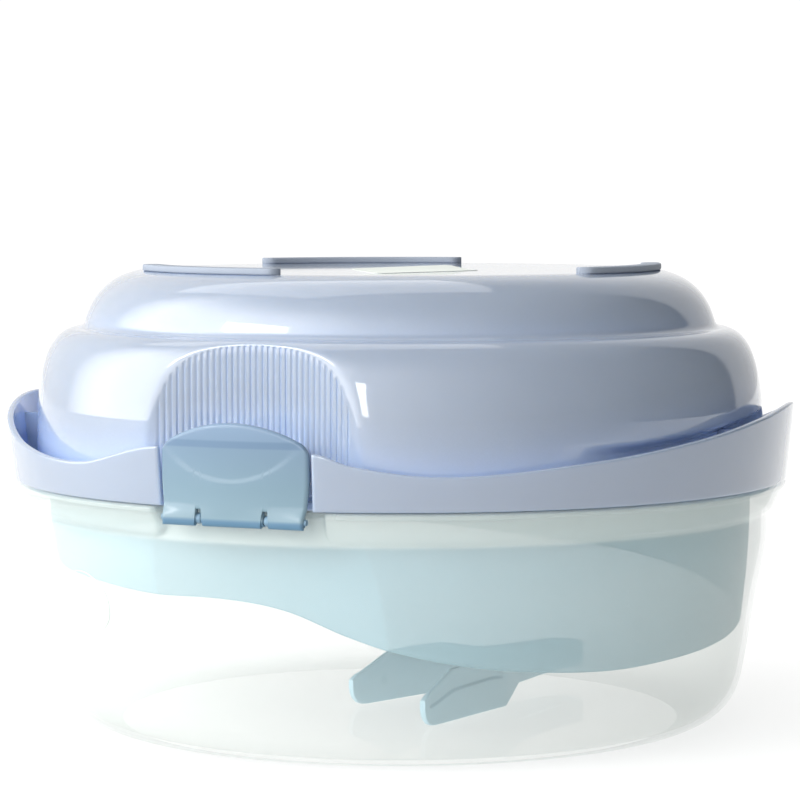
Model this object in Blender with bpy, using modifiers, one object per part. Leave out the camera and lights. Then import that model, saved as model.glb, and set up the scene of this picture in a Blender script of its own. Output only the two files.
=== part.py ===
"""Microwave steam steriliser for baby bottles, standing upside down on its clear domed lid.

The base tub is on top, the basket tray hangs between the two, and a pair of tongs lies on the lid's
floor.  Two clips, hinged on the lid's rim, hold the base down.  Blender units are metres, +Z is up, and
the origin is the bottom centre.  The driving sizes below are in millimetres.
"""
import math

import bmesh
import bpy
from mathutils import Matrix, Vector

MM = 0.001
SEGMENTS = 60
GAP = 0.3

# Overall
PARTING_Z = 87.0
BASE_TOP_Z = 160.8
LID_WALL = 2.0
BASE_WALL = 2.2
TRAY_WALL = 1.8

# Base flange and skirt
SKIRT_RADIUS = 138.4
SKIRT_LEAN = 0.095
SKIRT_WALL = 2.3
SKIRT_FOOT_Z = 91.0
SKIRT_FULL_Z = 115.0
SKIRT_EDGE = ((-80, 115.0), (-61, 109.3), (-45, 101.9), (-27, 99.4), (-11.65, 106.7), (11.65, 105.8),
              (16.5, 102.0), (29, 98.7), (50, 102.4), (68, 107.3), (84, 112.2), (100, 115.0))
SCOOP_DEPTH = 6.0
SCOOP_ANGLES = (48.0, 62.0, 94.0, 104.0)
SCOOP_TOP = ((60.0, 106.0), (105.0, 112.3))
SCOOP_FADE = 2.5
GUSSETS = ((84.0, 123.8), (106.0, 129.0))
GUSSET_HALF = 0.8
GUSSET_END = 138.3
GUSSET_Z = (89.4, 108.0)

# Clips and the openings that they sit in
CLIP_OPENING_ANGLE = 11.65
CLIP_OPENING_HALF = 27.9
CLIP_HALF = 26.0
CLIP_OUTER_RADIUS = 139.3
CLIP_WALL = 2.3
CLIP_SHOULDER_Z = 107.5
CLIP_TOP_Z = 115.0
HINGE_Y = -136.9
HINGE_Z = 84.0
KNUCKLE_RADIUS = 2.6
PIN_RADIUS = 1.0
PIN_HALF = 25.6
CLIP_KNUCKLES = ((-26.0, -13.4), (-11.0, 11.0), (13.4, 26.0))
LID_KNUCKLES = ((-13.1, -11.3), (11.3, 13.1))
CATCH_HALF = 21.5
CATCH_Z = (107.1, 109.4)
CATCH_TIP_Y = -133.9
LEDGE_HALF = 18.0
LEDGE_Z = (103.8, 106.6)
LEDGE_TIP_Y = -134.6

# Ribbed grip recess above each clip: a hollow front that is cut into the round wall
RECESS_Y = 119.5
RECESS_CURVE = 0.00325
RECESS_FOOT_Z = 93.0
RIB_COUNT = 33
RIB_PITCH = 2.12
RIB_GROOVE = 1.0
RIB_DEPTH = 0.6
RIB_FOOT_Z = 96.5
RIB_MARGIN = 4.0
LEDGE_ROOT_Y = -118.7

# Lid band next to a clip, and the tray inside it
BAND_INSET_RADIUS = 131.6
TRAY_FLANGE_INSET = 129.1
TRAY_FLOOR_Z = 143.0
TRAY_FLAT_Y = 120.5
TRAY_FLAT_LEAN = 0.158
TRAY_FLAT_TOP_Z = 80.0
COLLAR_TOP_Z = 82.0
COLLAR_LOW_Z = 31.2
COLLAR_EDGE = ((-77, 60.0), (-57, 58.0), (-38, 57.1), (-20, 55.5), (-6, 55.1), (4.4, 52.2), (14.2, 45.1),
               (24, 39.3), (34.6, 34.9), (46, 32.4), (58, 31.2), (70, 32.0), (82, 33.2), (94, 35.0),
               (115, 39.0), (145, 46.5), (185, 54.0), (225, 58.5), (255, 60.5), (283, 60.0))
SLOT_RINGS = ((22.0, 44.0, 10), (52.0, 74.0, 16), (82.0, 97.0, 22))
SLOT_WIDTH = 4.0

# Foot strips and sticker on the underside, which is on top here
FOOT_RADIUS = 90.0
FOOT_WIDTH = 7.0
FOOT_HEIGHT = 1.9
FOOT_SPAN = 51.0
FOOT_ANGLES = (-29.0, 90.5, 213.0)
LABEL_SIZE = (14.0, 53.0, 0.3)
LABEL_CENTRE = (20.5, -35.2)
LABEL_TURN = -18.4

# Tongs: a bow with two arms, lying on edge on the lid's floor, tips towards the front
TONGS_TIP = (4.65, -23.65)
TONGS_ANGLE = 73.9
TONGS_LENGTH = 114.0
TONGS_STAGGER = 9.5
TONGS_TIP_HALF = 25.2
TONGS_TAPER = 0.0976
TONGS_BOW_RADIUS = 9.0
TONGS_WALL = 2.2
PADDLE_STEPS = (0.0, 1.2, 3.5, 7.0, 12.0, 18.5, 30.0, 42.0, 54.0)
SHANK_STEPS = (0.2, 0.5, 0.8)
LOWER_EDGE = ((0.0, 7.4), (1.2, 5.2), (3.5, 3.4), (7.0, 2.4), (54.0, 2.4), (66.0, 9.0))
UPPER_EDGE = ((0.0, 12.4), (18.5, 20.9), (46.0, 20.9), (66.0, 17.2))

# Angles, counted from the clip's centre line, where the turned pieces have their edges
EDGE_ANGLES = ((0, 0), (6, 5.55), (12, CLIP_OPENING_ANGLE), (18, 13.4), (24, 17.0), (30, 24.5), (90, 90))

COLOURS = {
    "clear_lid": ((0.84, 0.88, 0.86, 0.35), 0.25),
    "lavender_base": ((0.62, 0.66, 0.78, 1.0), 0.22),
    "blue_clip": ((0.38, 0.52, 0.68, 0.9), 0.3),
    "pin": ((0.85, 0.87, 0.9, 1.0), 0.4),
    "blue_tray": ((0.55, 0.70, 0.76, 0.8), 0.35),
    "blue_tongs": ((0.40, 0.58, 0.66, 1.0), 0.35),
    "foot": ((0.50, 0.54, 0.62, 1.0), 0.45),
    "label": ((0.78, 0.78, 0.74, 1.0), 0.6),
}


def clear_scene():
    for obj in list(bpy.data.objects):
        bpy.data.objects.remove(obj, do_unlink=True)


def new_collection(name):
    collection = bpy.data.collections.new(name)
    bpy.context.scene.collection.children.link(collection)
    return collection


def new_material(name):
    colour, roughness = COLOURS[name]
    material = bpy.data.materials.new(name)
    material.use_nodes = True
    shader = material.node_tree.nodes["Principled BSDF"]
    shader.inputs["Base Color"].default_value = (colour[0], colour[1], colour[2], 1.0)
    shader.inputs["Alpha"].default_value = colour[3]
    shader.inputs["Roughness"].default_value = roughness
    shader.inputs["Metallic"].default_value = 0.0
    return material


def new_object(name, mesh, collection):
    obj = bpy.data.objects.new(name, mesh)
    collection.objects.link(obj)
    return obj


def bake(obj):
    """Replace an object's mesh by the result of its modifiers."""
    depsgraph = bpy.context.evaluated_depsgraph_get()
    mesh = bpy.data.meshes.new_from_object(obj.evaluated_get(depsgraph))
    obj.modifiers.clear()
    obj.data = mesh
    return obj


def finish_mesh(obj, material, smooth_angle=40.0):
    obj.data.materials.clear()
    obj.data.materials.append(material)
    obj.data.shade_smooth()
    obj.data.set_sharp_from_angle(angle=math.radians(smooth_angle))


def set_origin(obj, point):
    """Move an object's origin to a point given in millimetres and keep its shape where it is."""
    place = Vector(point) * MM
    obj.data.transform(Matrix.Translation(-place))
    obj.location = place


def as_operand(obj):
    obj.hide_render = True
    obj.display_type = "WIRE"
    return obj


def boolean(target, operand, operation):
    modifier = target.modifiers.new(operand.name, "BOOLEAN")
    modifier.operation = operation
    modifier.solver = "EXACT"
    modifier.object = as_operand(operand)


def box(name, low, high, collection):
    """Box between two corners given in millimetres."""
    mesh = bpy.data.meshes.new(name)
    shape = bmesh.new()
    bmesh.ops.create_cube(shape, size=1.0)
    size = Vector(high) - Vector(low)
    centre = (Vector(high) + Vector(low)) / 2.0
    matrix = Matrix.Translation(centre * MM) @ Matrix.Diagonal((*(size * MM), 1.0))
    bmesh.ops.transform(shape, matrix=matrix, verts=shape.verts)
    shape.to_mesh(mesh)
    shape.free()
    return new_object(name, mesh, collection)


def rod(name, x_low, x_high, radius, sides, collection):
    """Cylinder along X on the front hinge axis."""
    mesh = bpy.data.meshes.new(name)
    shape = bmesh.new()
    bmesh.ops.create_cone(shape, cap_ends=True, segments=sides, radius1=radius * MM,
                          radius2=radius * MM, depth=(x_high - x_low) * MM)
    centre = Vector(((x_low + x_high) / 2.0, HINGE_Y, HINGE_Z)) * MM
    turn = Matrix.Rotation(math.radians(90.0), 4, "Y")
    bmesh.ops.transform(shape, matrix=Matrix.Translation(centre) @ turn, verts=shape.verts)
    shape.to_mesh(mesh)
    shape.free()
    return new_object(name, mesh, collection)


def interpolate(keys, value):
    for (low, start), (high, end) in zip(keys, keys[1:]):
        if value <= high:
            return start + (end - start) * (value - low) / (high - low)
    return keys[-1][1]


def wave(keys, angle):
    """Height of a wavy edge at an angle: a smooth curve through the key heights of one period."""
    period = keys[-1][0] - keys[0][0]
    angle = (angle - keys[0][0]) % period + keys[0][0]
    count = len(keys) - 1
    for i in range(count):
        (low, start), (high, end) = keys[i], keys[i + 1]
        if angle <= high:
            break
    before = keys[i - 1] if i > 0 else (keys[count - 1][0] - period, keys[count - 1][1])
    after = keys[i + 2] if i + 2 <= count else (keys[1][0] + period, keys[1][1])
    span = high - low
    slope_start = (end - before[1]) / (high - before[0]) * span
    slope_end = (after[1] - start) / (after[0] - low) * span
    t = (angle - low) / span
    return ((2 * t ** 3 - 3 * t ** 2 + 1) * start + (t ** 3 - 2 * t ** 2 + t) * slope_start
            + (3 * t ** 2 - 2 * t ** 3) * end + (t ** 3 - t ** 2) * slope_end)


def smoothstep(low, high, value):
    t = min(max((value - low) / (high - low), 0.0), 1.0)
    return t * t * (3.0 - 2.0 * t)


def from_clip(phi):
    """Angle from the nearer clip's centre line, -90 to 90, and from the handles' centre line."""
    return (phi + 90.0) % 180.0 - 90.0


def bend(start, corner, end, count):
    """Points along a round corner, from start to end."""
    points = []
    for i in range(count + 1):
        t = i / count
        points.append(tuple((1 - t) ** 2 * a + 2 * t * (1 - t) * b + t * t * c
                            for a, b, c in zip(start, corner, end)))
    return points


def offset(points, distance):
    """The profile moved to its right-hand side by a wall's thickness."""
    moved = []
    for i, (r, z) in enumerate(points):
        before = points[max(i - 1, 0)]
        after = points[min(i + 1, len(points) - 1)]
        run = Vector((after[0] - before[0], after[1] - before[1])).normalized()
        moved.append((max(r + run.y * distance, 0.0), z - run.x * distance))
    return moved


def turned(name, profile, collection, shape):
    """Turn a profile about Z.  Its outer side runs top to bottom; an open one ends on the axis.

    shape(r, phi, z) then moves each point; phi is 0 at the front clip and grows towards +X.
    """
    mesh = bpy.data.meshes.new(name)
    edges = [(i, i + 1) for i in range(len(profile) - 1)]
    if profile[0][0] > 0.0:
        edges.append((len(profile) - 1, 0))
    mesh.from_pydata([(r * MM, 0.0, z * MM) for r, z in profile], edges, [])
    obj = new_object(name, mesh, collection)
    screw = obj.modifiers.new("Turn", "SCREW")
    screw.steps = SEGMENTS
    screw.render_steps = SEGMENTS
    screw.use_merge_vertices = True
    screw.merge_threshold = 0.00001
    bake(obj)
    for vertex in obj.data.vertices:
        x, y, z = vertex.co / MM
        r = math.hypot(x, y)
        phi = math.degrees(math.atan2(x, -y))
        near = from_clip(phi)
        phi += math.copysign(interpolate(EDGE_ANGLES, abs(near)), near) - near
        r, z = shape(r, phi, z)
        angle = math.radians(phi)
        vertex.co = (r * math.sin(angle) * MM, -r * math.cos(angle) * MM, z * MM)
    obj.data.update()
    return obj


# ---------------------------------------------------------------- lid

def lid_outer_profile():
    floor_corner = bend((100.0, 0.0), (119.0, 0.0), (123.0, 17.0), 5)
    wall = [(124.9, 27.4), (127.8, 46.0), (130.9, 61.5), (131.4, 68.0)]
    band = [(131.4, 72.5), (132.6, 75.2), (133.6, 77.0), (138.2, PARTING_Z)]
    return [(0.0, 0.0)] + floor_corner + wall + band


def lid_shape(r, phi, z):
    """The band is set back beside each clip, so that the clip's hinge fits in front of the wall."""
    if abs(from_clip(phi)) < 12.0 and z > 73.0:
        wall = LID_WALL if r < lid_band_middle(z) else 0.0
        r = BAND_INSET_RADIUS - wall
    return r, z


def lid_band_middle(z):
    keys = ((0.0, 130.0), (72.5, 130.4), (77.0, 132.6), (PARTING_Z, 137.2))
    return interpolate(keys, z)


def make_lid(parts, cutters, material):
    outer = lid_outer_profile()
    inner = offset(outer, -LID_WALL)
    inner[0] = (0.0, LID_WALL)
    inner[-1] = (inner[-1][0], PARTING_Z)
    lid = turned("lid_bowl", inner + outer[::-1], parts, lid_shape)
    for side, turn in (("front", 0.0), ("rear", math.pi)):
        for x_low, x_high in LID_KNUCKLES:
            eye = rod(f"lid_eye_{side}", x_low, x_high, KNUCKLE_RADIUS, 16, cutters)
            ear_half = KNUCKLE_RADIUS - 0.5
            ear = box(f"lid_ear_{side}", (x_low + 0.1, HINGE_Y + 0.2, HINGE_Z - ear_half),
                      (x_high - 0.1, -BAND_INSET_RADIUS + 1.4, HINGE_Z + ear_half), cutters)
            bore = rod(f"lid_bore_{side}", x_low - 1.0, x_high + 1.0, PIN_RADIUS + GAP, 12, cutters)
            for piece, operation in ((ear, "UNION"), (eye, "UNION"), (bore, "DIFFERENCE")):
                piece.data.transform(Matrix.Rotation(turn, 4, "Z"))
                boolean(lid, piece, operation)
    bake(lid)
    finish_mesh(lid, material)


# ---------------------------------------------------------------- base

def shoulder():
    """The outer wall's round shoulder, which meets the grip recess in an arch."""
    return bend((115.6, 140.4), (127.6, 139.6), (129.6, 114.0), 6)


def base_outer_profile():
    """From the middle of the flat top down to the flange."""
    upper = bend((92.0, BASE_TOP_Z), (108.2, 158.4), (112.6, 143.0), 4)
    groove = [(113.4, 141.2)]
    wall = [(129.9, 109.0), (130.1, 104.0), (130.3, 95.0), (130.5, SKIRT_FOOT_Z - 0.8)]
    return [(0.0, BASE_TOP_Z)] + upper + groove + shoulder() + wall


def base_middle(z):
    """Radius halfway through the base's wall."""
    middle = offset(base_outer_profile()[1:], BASE_WALL / 2.0)
    return interpolate([(height, r) for r, height in reversed(middle)], z)


def recess_y(x):
    """How far the recess's front lies from the middle, at a distance from the clip's centre line."""
    return RECESS_Y + RECESS_CURVE * x * x


def recess_radius(phi, back):
    """Radius of the recess's front, or of its rear with the wall's thickness as back."""
    near = math.radians(from_clip(phi))
    r = RECESS_Y - back
    for _ in range(4):
        r = (recess_y(r * math.sin(near)) - back) / math.cos(near)
    return r


def skirt_lean(z):
    return SKIRT_LEAN * (z - PARTING_Z)


def scoop_depth(phi, z):
    """How far the wall is set back behind the skirt at a handle, to make room for fingers."""
    start, full, ease, end = SCOOP_ANGLES
    angle = phi % 180.0
    across = smoothstep(start, full, angle) * (1.0 - smoothstep(ease, end, angle))
    top = interpolate(SCOOP_TOP, max(angle, SCOOP_TOP[0][0]))
    upward = 1.0 - smoothstep(top - SCOOP_FADE, top + SCOOP_FADE, z)
    return SCOOP_DEPTH * across * upward * smoothstep(PARTING_Z + GAP, SKIRT_FOOT_Z + 3.0, z)


def base_shape(r, phi, z):
    """Wavy top edge on the skirt, a finger scoop behind it at each handle, and the grip recesses."""
    if r > 134.5 and z > SKIRT_FOOT_Z:
        share = (z - SKIRT_FOOT_Z) / (SKIRT_FULL_Z - SKIRT_FOOT_Z)
        edge = wave(SKIRT_EDGE, from_clip(phi))
        wavy = SKIRT_FOOT_Z + share * (edge - SKIRT_FOOT_Z)
        return r + skirt_lean(wavy) - skirt_lean(z), wavy
    if r < 110.0 or r > 134.5:
        return r, z
    back = 0.0 if r > base_middle(z) else BASE_WALL
    if z > RECESS_FOOT_Z and abs(from_clip(phi)) < 20.0:
        r = min(r, recess_radius(phi, back))
    return r - scoop_depth(phi, z), z


def rib_grooves(name, collection):
    """Upright grooves that leave the ribs of the grip recess standing."""
    mesh = bpy.data.meshes.new(name)
    shape = bmesh.new()
    for i in range(RIB_COUNT):
        x = (i - (RIB_COUNT - 1) / 2.0) * RIB_PITCH
        front = recess_y(x)
        top = interpolate(shoulder(), math.hypot(x, front)) - RIB_MARGIN
        low = Vector((x - RIB_GROOVE / 2.0, -front - 1.0, RIB_FOOT_Z))
        high = Vector((x + RIB_GROOVE / 2.0, -front + RIB_DEPTH, top))
        cube = bmesh.ops.create_cube(shape, size=1.0)["verts"]
        matrix = Matrix.Translation((low + high) / 2.0 * MM) @ Matrix.Diagonal((*((high - low) * MM), 1.0))
        bmesh.ops.transform(shape, matrix=matrix, verts=cube)
    shape.to_mesh(mesh)
    shape.free()
    return new_object(name, mesh, collection)


def make_base(parts, cutters, material):
    outer = base_outer_profile()
    inner = offset(outer, BASE_WALL)
    inner[0] = (0.0, BASE_TOP_Z - BASE_WALL)
    floor = PARTING_Z + GAP
    inner[-1] = (inner[-1][0], floor)
    foot = SKIRT_RADIUS + skirt_lean(SKIRT_FOOT_Z)
    tip = SKIRT_RADIUS + skirt_lean(SKIRT_FULL_Z)
    skirt = [(foot - SKIRT_WALL, SKIRT_FOOT_Z - 0.4), (foot - SKIRT_WALL, SKIRT_FOOT_Z + 0.4),
             (tip - SKIRT_WALL, SKIRT_FULL_Z), (tip, SKIRT_FULL_Z), (foot, SKIRT_FOOT_Z + 0.4),
             (SKIRT_RADIUS, floor)]
    base = turned("base_tub", outer + skirt + inner[::-1], parts, base_shape)
    for side, turn in (("front", 0.0), ("rear", math.pi)):
        opening = box(f"clip_opening_{side}", (-CLIP_OPENING_HALF, -150.0, PARTING_Z - 5.0),
                      (CLIP_OPENING_HALF, -133.3, 125.0), cutters)
        grooves = rib_grooves(f"rib_grooves_{side}", cutters)
        ledge = box(f"catch_ledge_{side}", (-LEDGE_HALF, LEDGE_TIP_Y, LEDGE_Z[0]),
                    (LEDGE_HALF, LEDGE_ROOT_Y, LEDGE_Z[1]), cutters)
        for piece, operation in ((opening, "DIFFERENCE"), (grooves, "DIFFERENCE"), (ledge, "UNION")):
            piece.data.transform(Matrix.Rotation(turn, 4, "Z"))
            boolean(base, piece, operation)
        for angle, root in GUSSETS:
            gusset = box(f"gusset_{side}_{angle:.0f}", (-GUSSET_HALF, -GUSSET_END, GUSSET_Z[0]),
                         (GUSSET_HALF, -root, GUSSET_Z[1]), cutters)
            gusset.data.transform(Matrix.Rotation(turn + math.radians(angle), 4, "Z"))
            boolean(base, gusset, "UNION")
    bake(base)
    finish_mesh(base, material)
    set_origin(base, (0.0, 0.0, PARTING_Z))


# ---------------------------------------------------------------- tray

def tray_shape(r, phi, z):
    """The collar's lower edge is wavy; collar and flange are flattened beside the clips."""
    z_turned = z
    if z < COLLAR_TOP_Z:
        share = (COLLAR_TOP_Z - z) / (COLLAR_TOP_Z - COLLAR_LOW_Z)
        z = COLLAR_TOP_Z - share * (COLLAR_TOP_Z - wave(COLLAR_EDGE, phi))
    if r > 130.0 and abs(from_clip(phi)) < 14.0:
        r = TRAY_FLANGE_INSET
    cosine = abs(math.cos(math.radians(phi)))
    back = 0.0 if r > collar_middle(z_turned) else TRAY_WALL
    flat = TRAY_FLAT_Y - TRAY_FLAT_LEAN * (TRAY_FLAT_TOP_Z - z) - back
    if 120.0 < r < 127.0 and r * cosine > flat:
        r = flat / cosine
    return r, z


def collar_middle(z):
    """Radius halfway through the collar's wall, before its edge is made wavy."""
    keys = ((COLLAR_LOW_Z, 121.7), (50.0, 123.5), (66.0, 124.4), (COLLAR_TOP_Z, 124.7), (90.0, 125.0))
    return interpolate(keys, z)


def tray_slots(collection):
    mesh = bpy.data.meshes.new("tray_slots")
    shape = bmesh.new()
    for inner, outer, count in SLOT_RINGS:
        for i in range(count):
            cube = bmesh.ops.create_cube(shape, size=1.0)["verts"]
            size = Vector((outer - inner, SLOT_WIDTH, 12.0)) * MM
            place = Matrix.Translation(Vector(((inner + outer) / 2.0, 0.0, TRAY_FLOOR_Z)) * MM)
            turn = Matrix.Rotation(2.0 * math.pi * (i + 0.5) / count, 4, "Z")
            bmesh.ops.transform(shape, matrix=turn @ place @ Matrix.Diagonal((*size, 1.0)), verts=cube)
    shape.to_mesh(mesh)
    shape.free()
    return new_object("tray_slots", mesh, collection)


def make_tray(parts, cutters, material):
    corner = bend((99.0, TRAY_FLOOR_Z), (104.5, TRAY_FLOOR_Z), (106.0, 137.0), 4)
    wall_out = [(0.0, TRAY_FLOOR_Z)] + corner + [(112.0, 120.0), (117.6, 86.0)]
    wall_in = offset(wall_out, TRAY_WALL)
    wall_in[0] = (0.0, TRAY_FLOOR_Z - TRAY_WALL)
    wall_in[-1] = (wall_in[-1][0], 84.2)
    flange = [(133.2, 86.0), (133.2, 84.2), (126.2, 84.2), (125.6, COLLAR_TOP_Z)]
    collar = [(125.3, 66.0), (124.4, 50.0), (122.6, COLLAR_LOW_Z), (120.8, COLLAR_LOW_Z),
              (122.6, 50.0), (123.5, 66.0), (123.8, COLLAR_TOP_Z), (123.8, 84.2)]
    tray = turned("basket_tray", wall_out + flange + collar + wall_in[::-1], parts, tray_shape)
    boolean(tray, tray_slots(cutters), "DIFFERENCE")
    bake(tray)
    finish_mesh(tray, material)
    set_origin(tray, (0.0, 0.0, PARTING_Z))


# ---------------------------------------------------------------- clips and their pins

def clip_top(x):
    """Height of a clip's arched top edge, with rounded shoulders."""
    rise = CLIP_TOP_Z - CLIP_SHOULDER_Z
    radius = (CLIP_HALF ** 2 + rise ** 2) / (2.0 * rise)
    arch = CLIP_TOP_Z - radius + math.sqrt(radius ** 2 - x ** 2)
    past = max(abs(x) - (CLIP_HALF - 3.0), 0.0)
    return arch - (3.0 - math.sqrt(9.0 - past ** 2))


def make_clip(side, turn, parts, cutters, materials):
    columns, rows = 14, 7
    mesh = bpy.data.meshes.new(f"{side}_clip")
    shape = bmesh.new()
    bmesh.ops.create_grid(shape, x_segments=columns, y_segments=rows, size=1.0)
    radius = CLIP_OUTER_RADIUS
    for vertex in shape.verts:
        x = CLIP_HALF * math.sin(vertex.co.x * math.pi / 2.0)
        height = (vertex.co.y + 1.0) / 2.0
        z = HINGE_Z + height * (clip_top(x) - HINGE_Z)
        vertex.co = Vector((x, -math.sqrt(radius ** 2 - x ** 2), z)) * MM
    bmesh.ops.recalc_face_normals(shape, faces=shape.faces)
    if sum(face.normal.y for face in shape.faces) > 0.0:
        bmesh.ops.reverse_faces(shape, faces=shape.faces)
    shape.to_mesh(mesh)
    shape.free()
    clip = new_object(f"{side}_clip", mesh, parts)
    solid = clip.modifiers.new("Wall", "SOLIDIFY")
    solid.thickness = CLIP_WALL * MM
    solid.offset = -1.0
    solid.use_even_offset = True
    bake(clip)
    for x_low, x_high in CLIP_KNUCKLES:
        boolean(clip, rod(f"{side}_clip_knuckle", x_low, x_high, KNUCKLE_RADIUS, 16, cutters), "UNION")
    catch = box(f"{side}_catch", (-CATCH_HALF, -CLIP_OUTER_RADIUS + 3.5, CATCH_Z[0]),
                (CATCH_HALF, CATCH_TIP_Y, CATCH_Z[1]), cutters)
    boolean(clip, catch, "UNION")
    gaps = tuple(zip((CLIP_KNUCKLES[0][1], CLIP_KNUCKLES[1][1]), (CLIP_KNUCKLES[1][0], CLIP_KNUCKLES[2][0])))
    for x_low, x_high in gaps:
        notch = box(f"{side}_notch", (x_low, -145.0, HINGE_Z - 5.0), (x_high, -130.0, HINGE_Z + 3.2), cutters)
        boolean(clip, notch, "DIFFERENCE")
    bore = rod(f"{side}_clip_bore", -30.0, 30.0, PIN_RADIUS + GAP, 12, cutters)
    boolean(clip, bore, "DIFFERENCE")
    bake(clip)
    pin = rod(f"{side}_clip_pin", -PIN_HALF, PIN_HALF, PIN_RADIUS, 12, parts)
    hinge = turn @ Vector((0.0, HINGE_Y, HINGE_Z))
    for obj, material in ((clip, materials["blue_clip"]), (pin, materials["pin"])):
        obj.data.transform(turn)
        finish_mesh(obj, material)
        set_origin(obj, hinge)


# ---------------------------------------------------------------- tongs

def tongs_place(along, across):
    """A point in the tongs' own plan, from the tips towards the bow, in the object's frame."""
    angle = math.radians(TONGS_ANGLE)
    return (TONGS_TIP[0] + along * math.cos(angle) - across * math.sin(angle),
            TONGS_TIP[1] + along * math.sin(angle) + across * math.cos(angle))


def tongs_path(sign):
    """Plan of one arm, with its edges' heights: a flat paddle, a shank and a quarter of the bow."""
    start = sign * TONGS_STAGGER
    points = []
    for s in PADDLE_STEPS:
        points.append((start + s, TONGS_TIP_HALF - TONGS_TAPER * s, s))
    along, across, s = points[-1]
    bow_start = TONGS_LENGTH - TONGS_BOW_RADIUS
    for t in SHANK_STEPS:
        run = (bow_start - along) * t
        spread = (across - TONGS_BOW_RADIUS) * (1.0 - t) ** 1.5
        points.append((along + run, TONGS_BOW_RADIUS + spread, s + run))
    for degrees in (0.0, 22.5, 45.0, 67.5):
        a = math.radians(degrees)
        points.append((bow_start + TONGS_BOW_RADIUS * math.sin(a), TONGS_BOW_RADIUS * math.cos(a), 99.0))
    return points + [(TONGS_LENGTH, 1.6, 99.0), (TONGS_LENGTH, GAP / 2.0, 99.0)]


def make_tongs_arm(name, sign, parts, material):
    rows = 4
    mesh = bpy.data.meshes.new(name)
    shape = bmesh.new()
    grid = []
    for along, across, s in tongs_path(sign):
        low = interpolate(LOWER_EDGE, s)
        high = interpolate(UPPER_EDGE, s)
        x, y = tongs_place(along, sign * across)
        grid.append([shape.verts.new(Vector((x, y, low + (high - low) * row / rows)) * MM)
                     for row in range(rows + 1)])
    for left, right in zip(grid, grid[1:]):
        for row in range(rows):
            shape.faces.new((left[row], right[row], right[row + 1], left[row + 1]))
    if sign > 0:
        bmesh.ops.reverse_faces(shape, faces=shape.faces)
    shape.to_mesh(mesh)
    shape.free()
    arm = new_object(name, mesh, parts)
    solid = arm.modifiers.new("Wall", "SOLIDIFY")
    solid.thickness = TONGS_WALL * MM
    solid.offset = -1.0
    solid.use_even_offset = True
    bake(arm)
    finish_mesh(arm, material)
    pivot = tongs_place(TONGS_LENGTH - TONGS_WALL, 0.0)
    set_origin(arm, (pivot[0], pivot[1], 0.0))


# ---------------------------------------------------------------- feet and sticker

def make_feet(parts, material):
    for i, centre in enumerate(FOOT_ANGLES):
        name = f"foot_strip_{i + 1}"
        low_z = BASE_TOP_Z + GAP
        steps = 10
        mesh = bpy.data.meshes.new(name)
        shape = bmesh.new()
        corners = []
        for r in (FOOT_RADIUS - FOOT_WIDTH / 2.0, FOOT_RADIUS + FOOT_WIDTH / 2.0):
            side = []
            for k in range(steps + 1):
                phi = math.radians(centre + FOOT_SPAN * (k / steps - 0.5))
                side.append((r * math.sin(phi), -r * math.cos(phi)))
            corners.append(side)
        outline = corners[0] + corners[1][::-1]
        bottom = shape.faces.new([shape.verts.new((x * MM, y * MM, low_z * MM)) for x, y in outline])
        grown = bmesh.ops.extrude_face_region(shape, geom=[bottom])["geom"]
        rise = Vector((0.0, 0.0, FOOT_HEIGHT * MM))
        bmesh.ops.translate(shape, vec=rise, verts=[v for v in grown if isinstance(v, bmesh.types.BMVert)])
        bmesh.ops.recalc_face_normals(shape, faces=shape.faces)
        shape.to_mesh(mesh)
        shape.free()
        foot = new_object(name, mesh, parts)
        finish_mesh(foot, material)
        phi = math.radians(centre)
        set_origin(foot, (FOOT_RADIUS * math.sin(phi), -FOOT_RADIUS * math.cos(phi), low_z))


def make_label(parts, material):
    x, y = LABEL_CENTRE
    width, depth, thickness = LABEL_SIZE
    low_z = BASE_TOP_Z + GAP
    label = box("base_sticker", (-width / 2.0, -depth / 2.0, 0.0), (width / 2.0, depth / 2.0, thickness),
                parts)
    finish_mesh(label, material)
    label.location = Vector((x, y, low_z)) * MM
    label.rotation_euler.z = math.radians(LABEL_TURN)


def main():
    clear_scene()
    parts = new_collection("bottle_steriliser")
    cutters = new_collection("cutters")
    materials = {name: new_material(name) for name in COLOURS}
    make_lid(parts, cutters, materials["clear_lid"])
    make_base(parts, cutters, materials["lavender_base"])
    make_tray(parts, cutters, materials["blue_tray"])
    for side, turn in (("front", 0.0), ("rear", math.pi)):
        make_clip(side, Matrix.Rotation(turn, 4, "Z"), parts, cutters, materials)
    make_tongs_arm("tongs_left_arm", 1.0, parts, materials["blue_tongs"])
    make_tongs_arm("tongs_right_arm", -1.0, parts, materials["blue_tongs"])
    make_feet(parts, materials["foot"])
    make_label(parts, materials["label"])


main()
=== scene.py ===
"""Looks of the bottle steriliser: fine shells, clips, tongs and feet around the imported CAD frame.

The steriliser stands upside down on its clear lid.  Lengths in the code below are millimetres and angles
are degrees; phi is 0 at the front clip (-Y) and grows towards +X.
"""

import math

import bmesh
import bpy
import numpy as np
from mathutils import Matrix, Vector


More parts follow.
